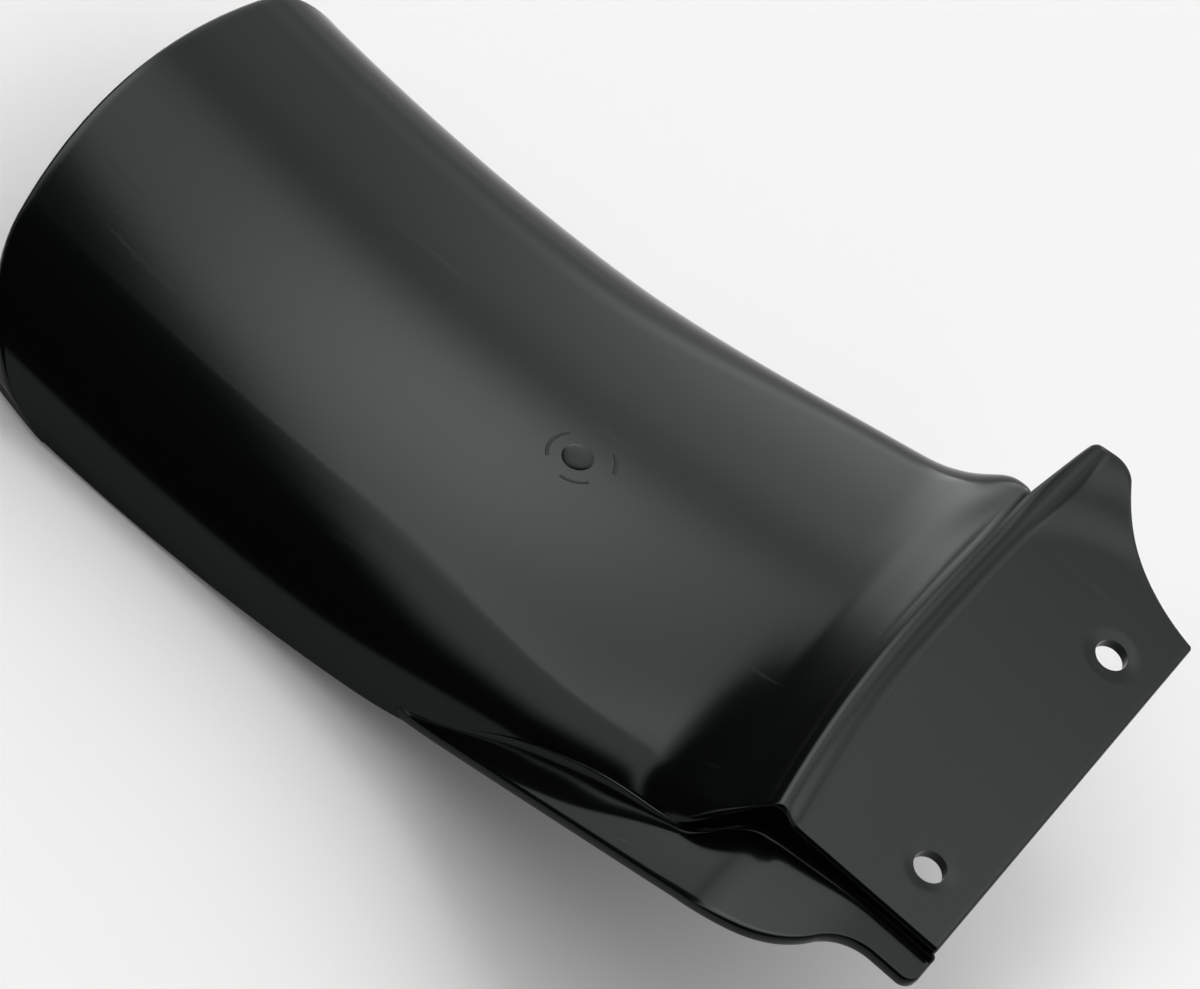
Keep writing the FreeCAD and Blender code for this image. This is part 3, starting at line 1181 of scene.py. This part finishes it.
@dataclass(frozen=True)
class BlackPlastic:
    """Black injection-moulded plastic."""

    surface: Surface
    colour: Colour = (0.0016, 0.0019, 0.0018)
    worn_colour: Colour = (0.004, 0.0046, 0.0043)
    roughness: float = 0.12
    smear: float = 0.05
    scuff: float = 0.08
    specular: float = 0.17
    ior: float = 1.5
    tint: Colour = (0.88, 1.0, 0.96)
    skin_depth: float = 0.00002

    def material(self, effects: Effects) -> bpy.types.Material:
        """Builds the finish.

        Args:
            effects: The shared shader groups.

        Returns:
            The material.
        """
        made = bpy.data.materials.new(f"black_plastic_{self.surface.value}")
        made.use_nodes = True
        tree = made.node_tree
        where = tree.nodes.new("ShaderNodeTexCoord").outputs["Object"]
        handling = tree.nodes.new("ShaderNodeGroup")
        handling.node_tree = effects.handling
        wear = {"Gloss Roughness": self.roughness, "Smear": self.smear, "Scuff": self.scuff, "Vector": where}
        feed(tree, handling, wear)
        colour = tree.nodes.new("ShaderNodeMix")
        colour.data_type = "RGBA"
        blend = {
            "Factor": handling.outputs["Mask"],
            "A": (*self.colour, 1.0),
            "B": (*self.worn_colour, 1.0),
        }
        feed(tree, colour, blend)
        skin = tree.nodes.new("ShaderNodeGroup")
        skin.node_tree = effects.skin
        feed(tree, skin, {"Vector": where})
        relief = {"Strength": 1.0, "Distance": self.skin_depth, "Height": skin.outputs["Height"]}
        bump = add_node(tree, "ShaderNodeBump", relief)
        look = {
            "Base Color": colour.outputs["Result"],
            "Roughness": handling.outputs["Roughness"],
            "Normal": bump.outputs["Normal"],
            "IOR": self.ior,
            "Specular IOR Level": self.specular,
            "Specular Tint": (*self.tint, 1.0),
        }
        feed(tree, tree.nodes["Principled BSDF"], look)
        return made


@dataclass(frozen=True)
class Cloth:
    """A lit cloth of the studio, as a soft-edged patch of the sky over the guard.

    Places are direction cosines: x to the ear's side, y to the free end. Each
    pair gives the start and the end of an edge; the slant turns the left edge.
    """

    name: str
    radiance: float
    left: Pair = (-2.0, -1.9)
    right: Pair = (1.9, 2.0)
    near: Pair = (-2.0, -1.9)
    far: Pair = (1.9, 2.0)
    slant: float = 0.0

    def add(
        self, tree: bpy.types.ShaderNodeTree, x: bpy.types.NodeSocket, y: bpy.types.NodeSocket
    ) -> bpy.types.NodeSocket:
        """Adds the patch's nodes to the world.

        Args:
            tree: The world's node tree.
            x: Direction cosine to the ear's side.
            y: Direction cosine to the free end.

        Returns:
            The patch's radiance.
        """
        slanted = add_math(tree, "MULTIPLY_ADD", y, self.slant, x)
        edges = (
            (slanted, self.left, (0.0, self.radiance)),
            (x, self.right, (1.0, 0.0)),
            (y, self.near, (0.0, 1.0)),
            (y, self.far, (1.0, 0.0)),
        )
        value = None
        for place, (start, end), (low, high) in edges:
            edge = tree.nodes.new("ShaderNodeMapRange")
            edge.interpolation_type = "SMOOTHSTEP"
            edge.label = self.name
            fade = {"Value": place, "From Min": start, "From Max": end, "To Min": low, "To Max": high}
            feed(tree, edge, fade)
            share = edge.outputs["Result"]
            value = share if value is None else add_math(tree, "MULTIPLY", value, share)
        return value


@dataclass(frozen=True)
class Room:
    """The studio around the guard: lit cloths in a dark room."""

    dark: float = 0.03
    light_colour: Colour = (1.0, 1.0, 1.0)
    cloths: tuple[Cloth, ...] = (
        Cloth("side", 2.1, left=(0.62, 0.72), right=(0.84, 0.97), near=(-0.9, -0.6), far=(0.5, 0.62)),
        Cloth("side_far", 1.1, left=(0.62, 0.72), right=(0.84, 0.97), near=(0.05, 0.35), far=(0.5, 0.62)),
        Cloth("shoulder", 1.3, left=(0.74, 0.82), right=(0.86, 0.97), near=(0.15, 0.35)),
        Cloth("rim", 1.2, left=(0.84, 0.95)),
        Cloth("corner", 5.2, left=(0.56, 0.68), near=(0.48, 0.63)),
        Cloth("overhead", 3.5, left=(0.4, 0.475), right=(0.6, 0.68), far=(0.48, 0.58), slant=0.35),
        Cloth("lamp", 3.0, left=(0.36, 0.5), right=(0.56, 0.66), near=(0.0, 0.25), far=(0.3, 0.5)),
        Cloth("soft", 1.2, left=(0.05, 0.4), right=(0.36, 0.5), near=(0.12, 0.26), far=(0.3, 0.46)),
        Cloth(
            "back", 2.4, left=(0.2, 0.7), right=(0.26, 0.42), near=(0.18, 0.36), far=(0.56, 0.68), slant=2.0
        ),
        Cloth("low", 1.2, left=(0.33, 0.45), right=(0.55, 0.68), far=(-0.25, -0.05)),
        Cloth("front", 0.7, far=(-0.6, -0.35)),
    )

    def hang(self) -> None:
        """Builds the world's node tree."""
        world = bpy.data.worlds.new("room")
        bpy.context.scene.world = world
        world.use_nodes = True
        tree = world.node_tree
        where = tree.nodes.new("ShaderNodeTexCoord").outputs["Generated"]
        place = add_node(tree, "ShaderNodeSeparateXYZ", {"Vector": where}).outputs
        light: float | bpy.types.NodeSocket = self.dark
        for cloth in self.cloths:
            light = add_math(tree, "ADD", light, cloth.add(tree, place["X"], place["Y"]))
        sky = {"Color": (*self.light_colour, 1.0), "Strength": light}
        feed(tree, tree.nodes["Background"], sky)


@dataclass
class Studio:
    """Floor, light and camera, in metres."""

    floor_z: float
    floor_size: float = 6.0
    floor_colour: Colour = (0.88, 0.88, 0.875)
    floor_roughness: float = 0.9
    floor_specular: float = 0.1
    camera_place: Point = (-0.630293, 0.006632, 0.815274)
    camera_right: Point = (0.561977, -0.753309, 0.341625)
    camera_down: Point = (-0.570212, -0.652014, -0.499736)
    camera_ahead: Point = (0.5992, 0.086042, -0.795963)
    camera_clip: float = 0.01
    camera_focus_px: float = 5306.4
    image_width_px: float = 1200.0
    sensor_mm: float = 36.0

    def floor(self) -> None:
        """Lays a plain pale floor."""
        half = 0.5 * self.floor_size
        signs = ((-1.0, -1.0), (1.0, -1.0), (1.0, 1.0), (-1.0, 1.0))
        mesh = bpy.data.meshes.new("floor")
        mesh.from_pydata([(x * half, y * half, self.floor_z) for x, y in signs], [], [(0, 1, 2, 3)])
        paint = bpy.data.materials.new("floor_paint")
        paint.use_nodes = True
        look = {
            "Base Color": (*self.floor_colour, 1.0),
            "Roughness": self.floor_roughness,
            "Specular IOR Level": self.floor_specular,
        }
        feed(paint.node_tree, paint.node_tree.nodes["Principled BSDF"], look)
        mesh.materials.append(paint)
        put("floor", mesh)

    def camera(self) -> None:
        """Sets the camera where the photo was taken from."""
        data = bpy.data.cameras.new("camera")
        data.sensor_fit = "HORIZONTAL"
        data.sensor_width = self.sensor_mm
        data.lens = self.camera_focus_px / self.image_width_px * self.sensor_mm
        data.clip_start = self.camera_clip
        axes = (self.camera_right, self.camera_down, self.camera_ahead)
        right, down, ahead = (Vector(axis).normalized() for axis in axes)
        turn = Matrix((right, -down, -ahead)).transposed().to_4x4()
        camera = put("camera", data)
        camera.matrix_world = Matrix.Translation(self.camera_place) @ turn
        bpy.context.scene.camera = camera

    def build(self) -> None:
        """Sets up the whole studio."""
        self.floor()
        Room().hang()
        self.camera()
        bpy.context.scene.view_settings.view_transform = "Standard"


def fit_piece(piece: bpy.types.Object, material: bpy.types.Material) -> None:
    """Gives a piece its finish, body and slot.

    Args:
        piece: The finished piece.
        material: Its finish.
    """
    piece.data.materials.clear()
    piece.data.materials.append(material)
    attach(piece, BODY)
    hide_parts(NODE)
    LOG.info("%s: %d faces", piece.name, len(piece.data.polygons))


def main() -> None:
    """Builds the guard's pieces and the studio."""
    logging.basicConfig(level=logging.INFO)
    form = GuardForm()
    effects = Effects()
    polished = BlackPlastic(Surface.POLISHED).material(effects)
    gate = BlackPlastic(Surface.GATE, roughness=0.34, smear=0.1, scuff=0.1).material(effects)
    shell = MouldedShell(form).build()
    mark = GateMark().build(shell, gate)
    FixingHoles(form).cut(shell)
    wing = SideWing(form).build()
    fit_piece(shell, polished)
    fit_piece(wing, polished)
    fit_piece(mark, gate)
    Studio(floor_z=CAD_BOX[0][2] - FLOOR_GAP).build()


if __name__ == "__main__":
    main()
